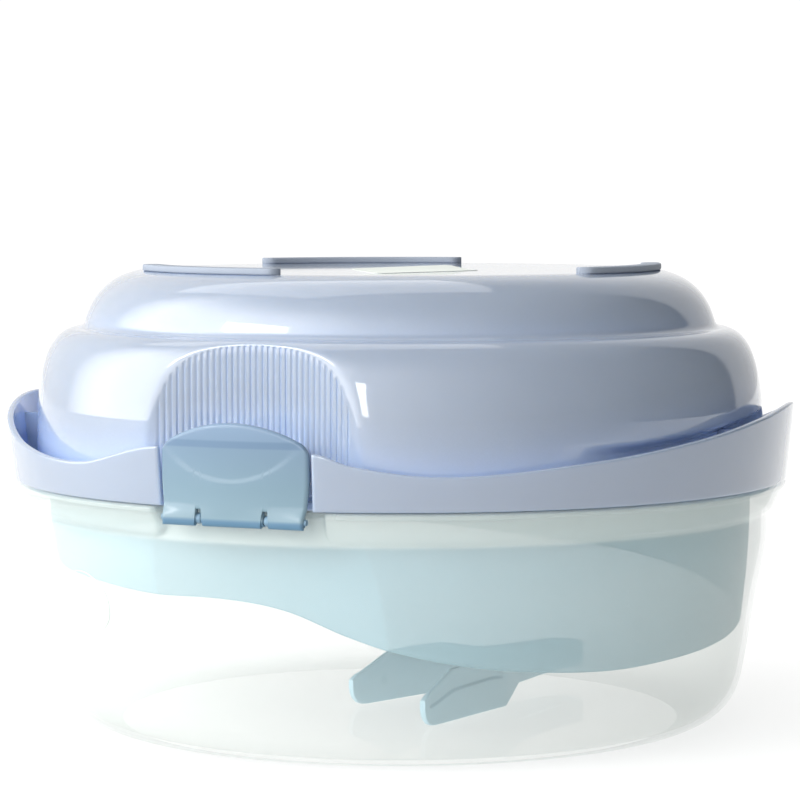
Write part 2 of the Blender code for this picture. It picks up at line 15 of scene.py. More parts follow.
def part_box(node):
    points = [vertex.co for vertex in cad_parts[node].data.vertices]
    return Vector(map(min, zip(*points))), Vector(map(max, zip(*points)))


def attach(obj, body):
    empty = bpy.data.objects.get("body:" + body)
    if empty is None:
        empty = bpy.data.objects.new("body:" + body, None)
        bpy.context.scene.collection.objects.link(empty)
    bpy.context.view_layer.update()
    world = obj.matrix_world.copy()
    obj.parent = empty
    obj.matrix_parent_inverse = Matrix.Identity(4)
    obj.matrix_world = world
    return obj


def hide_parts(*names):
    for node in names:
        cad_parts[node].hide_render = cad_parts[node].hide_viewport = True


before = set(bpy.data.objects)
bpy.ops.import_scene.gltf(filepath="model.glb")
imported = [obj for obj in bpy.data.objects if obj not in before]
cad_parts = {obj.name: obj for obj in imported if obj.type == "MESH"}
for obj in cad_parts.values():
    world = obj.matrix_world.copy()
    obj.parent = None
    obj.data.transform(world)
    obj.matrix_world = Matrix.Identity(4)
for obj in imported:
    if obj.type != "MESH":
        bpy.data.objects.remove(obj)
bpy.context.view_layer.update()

MM = 0.001
PARTING_Z = 87.0
GAP = 0.3

# Heights and radii that the frame gives
BASE_TOP_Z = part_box("foot_strip_1")[0][2] / MM - GAP
FOOT_TOP_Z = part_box("foot_strip_1")[1][2] / MM
TRAY_FLOOR_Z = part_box("basket_tray")[1][2] / MM
CLIP_TOP_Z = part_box("front_clip")[1][2] / MM
CLIP_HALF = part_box("front_clip")[1][0] / MM
PIN_LOW, PIN_HIGH = (np.array(corner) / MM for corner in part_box("front_clip_pin"))
HINGE_Y = (PIN_LOW[1] + PIN_HIGH[1]) / 2.0
HINGE_Z = (PIN_LOW[2] + PIN_HIGH[2]) / 2.0

# Lid: profiles are (radius, z) points, and BAND_STEPS says how far the band stands out at a height
LID_WALL = 2.0
LID_FLOOR_RADIUS = 100.0
BAND_INSET_RADIUS = 131.6
BAND_EDGE = 28.2
BAND_FOOT_Z = 75.6
BAND_CORNER = 5.0
BAND_STEPS = ((73.0, 0.0), (76.0, 1.4), (77.2, 2.1), (84.6, 5.7), (84.9, 6.5), (86.2, 6.6), (86.5, 5.5),
              (PARTING_Z, 5.4))
BAND_FADE = (74.2, 76.5)
LID_SIDE = ((123.0, 17.0), (124.9, 27.4), (127.8, 46.0), (130.9, 61.5), (131.5, 68.0),
            (BAND_INSET_RADIUS, 73.0))
RIM_ROUND = 0.3

# Mould mark on the lid: the place is (phi, z) and the size half the width and half the height
MARK_PLACE = (-32.5, 50.5)
MARK_SIZE = (14.0, 10.5)
MARK_EDGE = 0.3
MARK_BOLDEST = math.radians(-50.0)

# Base: profiles are (radius, z) points, and edges and tops are (phi, z) points
BASE_WALL = 2.2
BASE_UPPER_STEP = ((92.0, BASE_TOP_Z), (108.2, 158.4), (112.6, 143.0))
BASE_GROOVE = ((112.6, 143.0), (113.1, 140.9), (115.6, 140.4))
BASE_LOWER_STEP = ((115.6, 140.4), (127.6, 139.6), (129.6, 114.0))
BASE_SIDE = ((129.6, 114.0), (130.3, 96.0), (130.5, 90.2))
FLANGE_ROOT = 130.4
FLANGE_TOP_Z = 90.1
SKIRT_RADIUS = 138.4
SKIRT_LEAN = 0.095
SKIRT_WALL = 2.3
SKIRT_FOOT_Z = 91.0
SKIRT_EDGE = ((-80, 115.0), (-61, 109.3), (-45, 101.9), (-27, 99.4), (-11.65, 106.7), (11.65, 105.8),
              (16.5, 102.0), (29, 98.7), (50, 102.4), (68, 107.3), (84, 112.2), (100, 115.0))
SKIRT_ROUND = 0.9
SKIRT_END_REACH = 0.5
OPENING_ANGLE = 11.7

# Handles: the scoop's angles are its start, where it is full, where it eases off, and its end; a gusset
# is its angle and the radius of its root
SCOOP_DEPTH = 6.0
SCOOP_ANGLES = (48.0, 64.0, 94.0, 104.0)
SCOOP_TOP = ((60.0, 105.0), (106.0, 112.3))
SCOOP_FADE = 2.0
GUSSETS = ((84.0, 123.8), (106.0, 129.0))
GUSSET_HALF = 0.8
GUSSET_TOP_Z = 108.0

# Grip recess and the ledge in it that the clip catches
LEDGE_LOW, LEDGE_HIGH = (-18.0, -134.6, 103.8), (18.0, -118.9, 106.6)
RECESS_Y = 119.5
RECESS_CURVE = 0.00325
RECESS_LIMIT = 24.0
RECESS_FADE = 20.0
RECESS_FOOT = (91.5, 94.5)
RECESS_SOFTNESS = 0.9
RIB_PITCH = 2.12
RIB_DEPTH = 0.45
RIB_REACH = 34.6

# Clip and hinge: knuckles and ears are from x to x
CLIP_RADIUS = 139.3
CLIP_WALL = 2.3
CLIP_SHOULDER_Z = 107.5
CLIP_CORNER = 3.0
CLIP_ROUND = 1.1
CLIP_FOOT_NARROWER = 1.1
CLIP_FOOT_Z = HINGE_Z - 2.4
NOTCH = (11.0, 13.4)
NOTCH_HEIGHT = 5.3
DIMPLE_PLACE = (-1.0, 127.0)
DIMPLE_RADIUS = 30.2
DIMPLE_DEPTH = 0.25
CATCH_LOW, CATCH_HIGH = (-21.5, -CLIP_RADIUS + 2.8, 107.1), (21.5, -133.9, 109.4)
KNUCKLE_RADIUS = 1.9
BORE_RADIUS = 1.3
CLIP_KNUCKLES = ((-24.6, -NOTCH[1]), (-NOTCH[0], NOTCH[0]), (NOTCH[1], 24.6))
EAR_RADIUS = 1.7
EAR_ROUND = 0.25
EAR_END_SCALE = 0.90385
LID_EARS = ((-13.1, -11.3), (11.3, 13.1))

# Tray: the collar's edge is (phi, z) points, and a ring of slots is its inner and outer end and its count
TRAY_WALL = 1.8
TRAY_FLOOR_RADIUS = 99.0
TRAY_SIDE = ((106.0, 137.0), (112.0, 120.0), (117.6, 86.0))
TRAY_RIM_RADIUS = 133.2
TRAY_RIM_Z = 86.0
TRAY_RIM_UNDER_Z = 84.2
TRAY_RIM_CUT = 129.1
TRAY_FLAT_Y = 120.5
TRAY_FLAT_LEAN = 0.158
TRAY_FLAT_TOP_Z = 80.0
COLLAR_TOP_Z = 82.0
COLLAR_LOW_Z = 31.2
COLLAR_EDGE = ((-77, 60.0), (-57, 58.0), (-38, 57.1), (-20, 55.5), (-6, 55.1), (4.4, 52.2), (14.2, 45.1),
               (24, 39.3), (34.6, 34.9), (46, 32.4), (58, 31.2), (70, 32.0), (82, 33.2), (94, 35.0),
               (115, 39.0), (145, 46.5), (185, 54.0), (225, 58.5), (255, 60.5), (283, 60.0))
SLOT_RINGS = ((22.0, 44.0, 10), (52.0, 74.0, 16), (82.0, 97.0, 22))
SLOT_WIDTH = 4.0
SLOT_EDGE = 0.2

# Tongs: edges are (distance from the tip, z) points
TONGS_TIP = (4.65, -23.65)
TONGS_ANGLE = 73.9
TONGS_LENGTH = 114.0
TONGS_STAGGER = 9.5
TONGS_TIP_HALF = 25.2
TONGS_TAPER = 0.0976
TONGS_BOW_RADIUS = 9.0
TONGS_WALL = 2.2
PADDLE_LENGTH = 54.0
BOW_DISTANCE = 99.0
PAD_DEPTH = 0.75
LOWER_EDGE = ((0.0, 8.6), (0.4, 6.6), (1.2, 5.0), (3.0, 3.3), (5.0, 2.6), (7.5, 2.4), (54.0, 2.4),
              (66.0, 9.0))
UPPER_EDGE = ((0.0, 12.0), (2.0, 13.4), (18.5, 20.6), (23.0, 20.9), (46.0, 20.9), (66.0, 17.2))

# Feet and sticker
FOOT_RADIUS = 90.0
FOOT_ANGLES = (-29.0, 90.5, 213.0)
FOOT_SPAN = 51.0
FOOT_HALF = 3.5
LABEL_START = (18.7, -62.4)
LABEL_ANGLE = 71.6
LABEL_SIZE = (53.0, 14.0)
LABEL_LIFT = 1.65
LABEL_THICKNESS = 0.12

# Camera
CAMERA_AZIMUTH = 22.8
CAMERA_DISTANCE = 1080.0
CAMERA_HEIGHT = 189.0
CAMERA_PITCH = 4.0
CAMERA_LENS = 135.2

# Floor
FLOOR_RADIUS_M = 6.0
FLOOR_GLOW = 0.73


# ---------------------------------------------------------------- shape helpers

def smoothstep(low, high, value):
    """Rise from 0 at low to 1 at high, level at both ends."""
    t = np.clip((np.asarray(value, float) - low) / (high - low), 0.0, 1.0)
    return t * t * (3.0 - 2.0 * t)


def wave(keys, angle):
    """Smooth periodic curve through the key heights, as the CAD has it."""
    keys = np.array(keys, float)
    period = keys[-1, 0] - keys[0, 0]
    angle = (np.asarray(angle, float) - keys[0, 0]) % period + keys[0, 0]
    count = len(keys) - 1
    x = np.concatenate(([keys[count - 1, 0] - period], keys[:, 0], [keys[1, 0] + period]))
    y = np.concatenate(([keys[count - 1, 1]], keys[:, 1], [keys[1, 1]]))
    slope = (y[2:] - y[:-2]) / (x[2:] - x[:-2])
    i = np.clip(np.searchsorted(keys[:, 0], angle, side="left") - 1, 0, count - 1)
    span = keys[i + 1, 0] - keys[i, 0]
    t = (angle - keys[i, 0]) / span
    return ((2 * t ** 3 - 3 * t ** 2 + 1) * keys[i, 1] + (t ** 3 - 2 * t ** 2 + t) * slope[i] * span
            + (3 * t ** 2 - 2 * t ** 3) * keys[i + 1, 1] + (t ** 3 - t ** 2) * slope[i + 1] * span)


def from_clip(phi):
    """Angle from the nearer clip."""
    return (phi + 90.0) % 180.0 - 90.0


def bend(start, corner, end, count):
    """Points along a round corner, from start to end."""
    t = np.linspace(0.0, 1.0, count + 1)[:, None]
    start, corner, end = (np.array(point, float) for point in (start, corner, end))
    return (1 - t) ** 2 * start + 2 * t * (1 - t) * corner + t * t * end


def spline(points, step):
    """Smooth curve through the points, with a point about every step."""
    points = np.array(points, float)
    before = np.vstack((2 * points[0] - points[1], points[:-2]))
    after = np.vstack((points[2:], 2 * points[-1] - points[-2]))
    rows = []
    for p0, p1, p2, p3 in zip(before, points[:-1], points[1:], after):
        count = max(2, int(round(np.linalg.norm(p2 - p1) / step)))
        t = np.linspace(0.0, 1.0, count, endpoint=False)[:, None]
        rows.append(0.5 * (2 * p1 + (p2 - p0) * t + (2 * p0 - 5 * p1 + 4 * p2 - p3) * t ** 2
                           + (3 * p1 - p0 - 3 * p2 + p3) * t ** 3))
    return np.vstack(rows + [points[-1:]])


def rounded_loop(points, radius, count=4):
    """Closed outline with its corners rounded."""
    points = [np.array(p, float) for p in points]
    loop = []
    for i, corner in enumerate(points):
        ends = []
        for other in (points[i - 1], points[(i + 1) % len(points)]):
            way = other - corner
            length = np.linalg.norm(way)
            ends.append(corner + way / length * min(radius, length * 0.45))
        loop.append(bend(ends[0], corner, ends[1], count))
    return np.vstack(loop)


def offset(points, distance):
    """The profile moved to its right-hand side."""
    before = np.vstack((points[:1], points[:-1]))
    after = np.vstack((points[1:], points[-1:]))
    run = after - before
    run /= np.linalg.norm(run, axis=1)[:, None]
    moved = points + distance * np.column_stack((run[:, 1], -run[:, 0]))
    moved[:, 0] = np.maximum(moved[:, 0], 0.0)
    return moved


def link(obj):
    bpy.context.scene.collection.objects.link(obj)
    return obj


def finish_mesh(name, mesh, shape, smooth_angle):
    """Put the edited shape back into its mesh, shade it smooth and add it to the scene."""
    shape.to_mesh(mesh)
    shape.free()
    mesh.shade_smooth()
    mesh.set_sharp_from_angle(angle=math.radians(smooth_angle))
    return link(bpy.data.objects.new(name, mesh))


def mesh_object(name, verts, faces, smooth_angle=35.0):
    """A mesh in millimetres becomes an object in metres, facing out, with smooth shading."""
    mesh = bpy.data.meshes.new(name)
    mesh.from_pydata((np.asarray(verts, float) * MM).tolist(), [], [list(f) for f in faces])
    shape = bmesh.new()
    shape.from_mesh(mesh)
    bmesh.ops.remove_doubles(shape, verts=shape.verts, dist=0.000002)
    bmesh.ops.dissolve_degenerate(shape, edges=shape.edges, dist=0.000001)
    bmesh.ops.recalc_face_normals(shape, faces=shape.faces)
    return finish_mesh(name, mesh, shape, smooth_angle)


def grid_faces(rows, columns, wrap_rows, wrap_columns):
    """Quads over a grid of vertices that is numbered row by row."""
    r = np.arange(rows if wrap_rows else rows - 1)
    c = np.arange(columns if wrap_columns else columns - 1)
    r, c = (a.ravel() for a in np.meshgrid(r, c, indexing="ij"))
    r2, c2 = (r + 1) % rows, (c + 1) % columns
    return np.column_stack((r * columns + c, r2 * columns + c, r2 * columns + c2, r * columns + c2))


def lathe(name, profile, sides, angles, shape, closed, smooth_angle=35.0):
    """Turn a profile of (r, z) points; sides marks each point 1 on the outer and -1 on the inner surface."""
    phi, r = np.meshgrid(angles, profile[:, 0], indexing="ij")
    z = np.broadcast_to(profile[:, 1], r.shape)
    r, z = shape(r.copy(), phi, z.copy(), np.broadcast_to(sides, r.shape))
    angle = np.radians(phi)
    verts = np.stack((r * np.sin(angle), -r * np.cos(angle), z), axis=-1).reshape(-1, 3)
    return mesh_object(name, verts, grid_faces(len(angles), len(profile), True, closed), smooth_angle)


def turn_angles(step, fine=(), spread=3.0, fine_step=0.25):
    """Angles all round, closer together near the fine ones."""
    angles = list(np.arange(0.0, 360.0, step))
    for centre in fine:
        angles += list((centre + np.arange(-spread, spread + 0.01, fine_step)) % 360.0)
    return np.unique(np.round(angles, 3))


def sweep(name, rings, smooth_angle=35.0):
    """Closed skin over rings of points, with flat ends."""
    rings = np.array(rings, float)
    count, size = rings.shape[:2]
    faces = [tuple(f) for f in grid_faces(count, size, False, True)]
    faces += [tuple(range(size)), tuple(reversed(range((count - 1) * size, count * size)))]
    return mesh_object(name, rings.reshape(-1, 3), faces, smooth_angle)


def half_turn(obj):
    """The same shape on the opposite side of the axis."""
    obj.data.transform(Matrix.Rotation(math.pi, 4, "Z"))
    return obj


def dress(obj, material, body, slot, *nodes):
    """Give a piece its material and its body, and hide the CAD nodes that it stands for; the slot is not
    used.
    """
    obj.data.materials.clear()
    obj.data.materials.append(material)
    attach(obj, body)
    if nodes:
        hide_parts(*nodes)
    return obj


# ---------------------------------------------------------------- materials

MIX_A, MIX_B, MIX_RESULT = 6, 7, 2
CLOUD_SCALE = 22.0
# Reach, in metres, of the ambient occlusion that places the painted light in narrow spaces
CAVITY_LIGHT_REACH = 0.018
DIRT_SCALE = 38.0
DIRT_COLOUR = (0.12, 0.09, 0.07)


def new_material(name, colour, roughness, **inputs):
    material = bpy.data.materials.new(name)
    material.use_nodes = True
    shader = material.node_tree.nodes["Principled BSDF"]
    shader.inputs["Base Color"].default_value = (*colour, 1.0)
    shader.inputs["Roughness"].default_value = roughness
    for key, value in inputs.items():
        shader.inputs[key.replace("_", " ")].default_value = value
    return material


def node(owner, kind, **settings):
    """New node in a material or a world; a setting is one of its properties or of its inputs."""
    made = owner.node_tree.nodes.new(kind)
    for key, value in settings.items():
        if hasattr(made, key):
            setattr(made, key, value)
        else:
            made.inputs[key.replace("_", " ")].default_value = value
    return made


def wire(owner, source, output, target, key):
    owner.node_tree.links.new(source.outputs[output], target.inputs[key])


def fill_ramp(ramp, stops):
    """Give a colour ramp its stops, each a position from 0 to 1 and a colour."""
    elements = ramp.color_ramp.elements
    while len(elements) < len(stops):
        elements.new(0.5)
    for element, (position, colour) in zip(elements, stops):
        element.position = position
        element.color = (*colour, 1.0)


def plastic(name, colour, roughness, grain_scale, grain_height, tint=0.04, cavity_light=None, **inputs):
    """Moulded plastic: slightly uneven colour and gloss, and a faint moulding texture; given a cavity light
    colour, it also gets painted light in narrow spaces and a few specks of dirt.
    """
    material = new_material(name, colour, roughness, **inputs)
    shader = material.node_tree.nodes["Principled BSDF"]
    place = node(material, "ShaderNodeTexCoord")
    clouds = node(material, "ShaderNodeTexNoise", Scale=CLOUD_SCALE, Detail=3.0, Roughness=0.5)
    wire(material, place, "Object", clouds, "Vector")
    brightness = node(material, "ShaderNodeMapRange", From_Min=0.3, From_Max=0.7,
                      To_Min=1.0 - tint, To_Max=1.0 + tint)
    wire(material, clouds, "Fac", brightness, "Value")
    uneven = node(material, "ShaderNodeHueSaturation", Color=(*colour, 1.0))
    wire(material, brightness, "Result", uneven, "Value")
    wire(material, uneven, "Color", shader, "Base Color")
    rough = node(material, "ShaderNodeMapRange", From_Min=0.3, From_Max=0.7,
                 To_Min=roughness * 0.85, To_Max=roughness * 1.2)
    wire(material, clouds, "Fac", rough, "Value")
    wire(material, rough, "Result", shader, "Roughness")
    if cavity_light:
        add_cavity_light_and_dirt(material, place, clouds, uneven, cavity_light)
    grain = node(material, "ShaderNodeTexNoise", Scale=grain_scale, Detail=2.0)
    wire(material, place, "Object", grain, "Vector")
    bump = node(material, "ShaderNodeBump", Strength=0.3, Distance=grain_height)
    wire(material, grain, "Fac", bump, "Height")
    wire(material, bump, "Normal", shader, "Normal")
    return material


def add_cavity_light_and_dirt(material, place, clouds, clean, cavity_light):
    """Painted light in narrow spaces: where the ambient occlusion finds walls close by, the colour turns
    brighter and bluer, standing in for light that passes through the thin walls and bounces between them.
    Also a few specks of dirt.
    """
    openness = node(material, "ShaderNodeAmbientOcclusion", samples=6, Distance=CAVITY_LIGHT_REACH)
    blend = node(material, "ShaderNodeMix", data_type="RGBA")
    blend.inputs[MIX_A].default_value = (*cavity_light, 1.0)
    wire(material, openness, "AO", blend, "Factor")
    wire(material, clean, "Color", blend, MIX_B)
    cells = node(material, "ShaderNodeTexVoronoi", Scale=DIRT_SCALE)
    wire(material, place, "Object", cells, "Vector")
    speck = node(material, "ShaderNodeMapRange", From_Min=0.02, From_Max=0.035, To_Min=1.0, To_Max=0.0)
    wire(material, cells, "Distance", speck, "Value")
    patch = node(material, "ShaderNodeMapRange", From_Min=0.58, From_Max=0.62, To_Max=0.6)
    wire(material, clouds, "Fac", patch, "Value")
    amount = node(material, "ShaderNodeMath", operation="MULTIPLY")
    wire(material, speck, "Result", amount, 0)
    wire(material, patch, "Result", amount, 1)
    dirty = node(material, "ShaderNodeMix", data_type="RGBA")
    dirty.inputs[MIX_B].default_value = (*DIRT_COLOUR, 1.0)
    wire(material, amount, "Value", dirty, "Factor")
    wire(material, blend, MIX_RESULT, dirty, MIX_A)
    wire(material, dirty, MIX_RESULT, material.node_tree.nodes["Principled BSDF"], "Base Color")


def object_height(material):
    """Node whose Z output is the height of the shaded point."""
    place = node(material, "ShaderNodeTexCoord")
    split = node(material, "ShaderNodeSeparateXYZ")
    wire(material, place, "Object", split, "Vector")
    return split


def see_through(material, thin, thick, band_thin=None):
    """Let light through: clear when seen square on, denser at a slant, and denser in the rim band."""
    shader = material.node_tree.nodes["Principled BSDF"]
    slant = node(material, "ShaderNodeLayerWeight", Blend=0.35)
    alpha = node(material, "ShaderNodeMapRange", To_Min=thin, To_Max=thick)
    wire(material, slant, "Facing", alpha, "Value")
    if band_thin is not None:
        band = node(material, "ShaderNodeMapRange", From_Min=BAND_FADE[0] * MM, From_Max=BAND_FADE[1] * MM,
                    To_Min=thin, To_Max=band_thin, interpolation_type="SMOOTHSTEP")
        wire(material, object_height(material), "Z", band, "Value")
        wire(material, band, "Result", alpha, "To Min")
    wire(material, alpha, "Result", shader, "Alpha")
    return material


# Colour of the clip by height, with painted shade: darker in a band where the catch bar sits behind the
# plate and along the hinge line at its foot
CLIP_SHADE_BY_HEIGHT = ((81.5, (0.07, 0.16, 0.25)), (83.4, (0.09, 0.18, 0.27)), (84.4, (0.18, 0.27, 0.32)),
              (94.0, (0.16, 0.245, 0.30)), (106.8, (0.15, 0.225, 0.30)), (107.3, (0.12, 0.19, 0.28)),
              (109.0, (0.12, 0.19, 0.28)), (109.6, (0.155, 0.23, 0.32)), (115.0, (0.16, 0.235, 0.33)))


def clip_plastic():
    """Blue plastic with painted shade: a darker band where the catch bar sits behind it and a darker line
    along its foot at the hinge.
    """
    material = plastic("blue_clip_plastic", CLIP_SHADE_BY_HEIGHT[3][1], 0.2, 120.0, 0.00005, 0.03, IOR=1.45)
    low, high = CLIP_SHADE_BY_HEIGHT[0][0], CLIP_SHADE_BY_HEIGHT[-1][0]
    share = node(material, "ShaderNodeMapRange", From_Min=low * MM, From_Max=high * MM)
    wire(material, object_height(material), "Z", share, "Value")
    ramp = node(material, "ShaderNodeValToRGB")
    fill_ramp(ramp, [((height - low) / (high - low), colour) for height, colour in CLIP_SHADE_BY_HEIGHT])
    wire(material, share, "Result", ramp, "Fac")
    wire(material, ramp, "Color", material.node_tree.nodes["Principled BSDF"], "Base Color")
    return material


MATERIALS = {
    "clear_lid": see_through(plastic("clear_lid_plastic", (0.68, 0.73, 0.69), 0.05, 60.0, 0.0001, 0.01,
                                     IOR=1.4), 0.06, 0.36, 0.3),
    "lavender_base": plastic("lavender_base_plastic", (0.235, 0.275, 0.34), 0.07, 45.0, 0.00004, 0.02,
                             # painted light: a brighter, bluer colour in narrow spaces, standing in for
                             # light let through the thin walls
                             cavity_light=(0.42, 0.54, 0.80),
                             Subsurface_Weight=0.3, Subsurface_Scale=0.006,
                             Subsurface_Radius=(0.5, 0.7, 1.0), Coat_Weight=0.6, Coat_Roughness=0.03,
                             IOR=1.5),
    "blue_clip": see_through(clip_plastic(), 0.8, 0.95),
    "blue_tray": see_through(plastic("blue_tray_plastic", (0.29, 0.45, 0.51), 0.45, 8.0, 0.00001, 0.015,
                                     IOR=1.4), 0.6, 0.85),
    "blue_tongs": see_through(plastic("blue_tongs_plastic", (0.52, 0.72, 0.80), 0.3, 90.0, 0.00003, 0.03,
                                      IOR=1.45), 0.8, 0.95),
    "wall_mark": plastic("wall_mark_plastic", (0.62, 0.67, 0.64), 0.4, 60.0, 0.0001, 0.01),
    "hinge_pin": plastic("hinge_pin_plastic", (0.13, 0.22, 0.30), 0.5, 200.0, 0.0001),
    "foot": plastic("foot_plastic", (0.24, 0.27, 0.32), 0.55, 200.0, 0.0001, 0.06,
                    Specular_IOR_Level=0.2),
    "label": plastic("sticker_paper", (0.62, 0.65, 0.61), 0.7, 400.0, 0.00005, 0.04),
}


# ---------------------------------------------------------------- lid

def lid_wall_profile():
    """Outer side of the lid without its band, from the middle of the floor up to the rim."""
    floor = spline([(0.0, 0.0), (74.0, 0.0)], 12.0)
    corner = bend((LID_FLOOR_RADIUS, 0.0), (119.0, 0.0), LID_SIDE[0], 28)
    wall = spline(LID_SIDE, 1.6)[1:]
    high = np.column_stack((np.full(29, BAND_INSET_RADIUS), np.linspace(73.4, PARTING_Z - RIM_ROUND, 29)))
    return np.vstack((floor, corner, wall, high))


def band_proud(phi, z):
    """How far the rim band stands out of the wall; it stops beside the clips with rounded corners."""
    along = np.abs(np.radians(from_clip(phi))) * BAND_INSET_RADIUS
    side = along - BAND_EDGE
    up = z - BAND_FOOT_Z
    dx, dz = np.maximum(BAND_CORNER - side, 0.0), np.maximum(BAND_CORNER - up, 0.0)
    inside = np.where((dx > 0) & (dz > 0), BAND_CORNER - np.hypot(dx, dz), np.minimum(side, up))
    return np.interp(z, *zip(*BAND_STEPS)) * smoothstep(-0.4, 1.8, inside)


def make_lid():
    """Clear bowl with its rim band, and the ears that hold the hinge pins."""
    outer = lid_wall_profile()
    inner = offset(outer, -LID_WALL)
    flat = inner[:, 0] < LID_FLOOR_RADIUS - 1.0
    inner[flat, 1] = LID_WALL
    inner[0] = (0.0, LID_WALL)
    inner[-1, 1] = outer[-1, 1] = PARTING_Z - RIM_ROUND
    rim = np.array([(BAND_INSET_RADIUS - LID_WALL + RIM_ROUND, PARTING_Z),
                    (BAND_INSET_RADIUS - RIM_ROUND, PARTING_Z)])
    profile = np.vstack((inner, rim, outer[::-1]))
    sides = np.concatenate((-np.ones(len(inner)), (-1, 1), np.ones(len(outer))))

    def shape(r, phi, z, side):
        inner_drop = np.where(side < 0, 0.6, 0.0)
        return r + np.where(z > 70.0, band_proud(phi, z - inner_drop), 0.0), z

    band_ends = (12.3, 347.7, 167.7, 192.3)
    lid = lathe("lid_shell", profile, sides, turn_angles(2.0, band_ends, 3.0, 0.2), shape, False)
    dress(lid, MATERIALS["clear_lid"], "lid", "clear_lid", "lid_bowl")
    for side in ("front", "rear"):
        for i, (x_low, x_high) in enumerate(LID_EARS):
            knuckle = make_lid_knuckle(f"lid_knuckle_{side}_{i + 1}", x_low, x_high)
            if side == "rear":
                half_turn(knuckle)
            dress(knuckle, MATERIALS["hinge_pin"], "lid", "clear_lid")


def make_wall_mark():
    """Faint raised oval that the mould left on the outside of the wall, fading out at its upper left."""
    profile = lid_wall_profile()
    wall = profile[profile[:, 1] >= LID_SIDE[0][1]]
    around = np.radians(np.arange(0.0, 360.0, 6.0))
    across = np.radians(np.arange(0.0, 360.0, 45.0))
    verts = []
    for a in around:
        for b in across:
            edge = MARK_EDGE * (0.1 + 0.9 * math.cos((a - MARK_BOLDEST) / 2.0) ** 2)
            grow = edge * math.cos(b)
            along = (MARK_SIZE[0] + grow) * math.cos(a)
            z = MARK_PLACE[1] + (MARK_SIZE[1] + grow) * math.sin(a)
            r = float(np.interp(z, wall[:, 1], wall[:, 0])) + edge * math.sin(b)
            phi = math.radians(MARK_PLACE[0]) + along / r
            verts.append((r * math.sin(phi), -r * math.cos(phi), z))
    mark = mesh_object("lid_wall_mark", verts, grid_faces(len(around), len(across), True, True), 60.0)
    return dress(mark, MATERIALS["wall_mark"], "lid", "clear_lid")


def make_lid_knuckle(name, x_low, x_high):
    """Rounded ear on the lid's wall, round one end of the hinge pin's middle."""
    wall_y = -BAND_INSET_RADIUS + 1.2
    arc = [(HINGE_Y + EAR_RADIUS * math.cos(a), HINGE_Z + EAR_RADIUS * math.sin(a))
           for a in np.radians(np.linspace(90.0, 270.0, 19))]
    outline = [(wall_y, HINGE_Z + EAR_RADIUS)] + arc + [(wall_y, HINGE_Z - EAR_RADIUS)]
    rings = []
    for x, scale in ((x_low, EAR_END_SCALE), (x_low + EAR_ROUND, 1.0), (x_high - EAR_ROUND, 1.0),
                     (x_high, EAR_END_SCALE)):
        rings.append([(x, HINGE_Y + (y - HINGE_Y) * scale, HINGE_Z + (z - HINGE_Z) * scale)
                      for y, z in outline])
    return sweep(name, rings)


# ---------------------------------------------------------------- base

def base_profile():
    """Outer side of the tub, from the middle of the flat top down to the flange."""
    top = spline([(0.0, BASE_TOP_Z), BASE_UPPER_STEP[0]], 12.0)
    upper = bend(*BASE_UPPER_STEP, 26)[1:]
    groove = bend(*BASE_GROOVE, 8)[1:]
    lower = bend(*BASE_LOWER_STEP, 60)[1:]
    wall = spline(BASE_SIDE, 0.6)[1:]
    return np.vstack((top, upper, groove, lower, wall))


def skirt_radius(z):
    """Outer radius of the skirt, which leans outwards."""
    return SKIRT_RADIUS + SKIRT_LEAN * (z - PARTING_Z)


def scoop_depth(phi, z):
    """How far the wall is set back behind the skirt at a handle, to make room for fingers."""
    start, full, ease, end = SCOOP_ANGLES
    angle = phi % 180.0
    across = smoothstep(start, full, angle) * (1.0 - smoothstep(ease, end, angle))
    top = np.interp(angle, *zip(*SCOOP_TOP))
    upward = 1.0 - smoothstep(top - SCOOP_FADE, top + SCOOP_FADE, z)
    return SCOOP_DEPTH * across * upward * smoothstep(PARTING_Z, SKIRT_FOOT_Z + 2.0, z)


def recess_cut(r, phi, z, back):
    """How far the wall is set back for the ribbed recess above a clip, with a rounded edge."""
    near = np.radians(np.clip(from_clip(phi), -RECESS_LIMIT, RECESS_LIMIT))
    front = np.full(r.shape, RECESS_Y)
    for _ in range(4):
        front = (RECESS_Y + RECESS_CURVE * (front * np.sin(near)) ** 2) / np.cos(near)
    front = front - back / np.cos(near)
    gap = r - front
    x = front * np.sin(near)
    soft = 0.5 * (gap + np.sqrt(gap ** 2 + RECESS_SOFTNESS ** 2)) - 0.05
    groove = smoothstep(0.5, 0.97, 0.5 + 0.5 * np.cos(2.0 * math.pi * x / RIB_PITCH))
    groove = RIB_DEPTH * groove * smoothstep(0.9, 1.5, gap) * (np.abs(x) < RIB_REACH)
    depth = np.maximum(soft, 0.0) + np.where(back > 0.0, 0.0, groove)
    window = 1.0 - smoothstep(RECESS_FADE, RECESS_LIMIT, np.abs(from_clip(phi)))
    window = window * smoothstep(*RECESS_FOOT, z)
    return depth * window * (r > 110.0) * smoothstep(-6.0, -3.0, gap)


def base_shape(r, phi, z, side):
    """Ribbed grip recesses at the clips, and finger scoops behind the skirt at the handles."""
    wall = (r > 109.0) & (r < 131.5)
    back = np.where(side < 0, BASE_WALL, 0.0)
    depth = scoop_depth(phi, z) + recess_cut(r, phi, z, back)
    return np.where(wall, r - depth, r), z


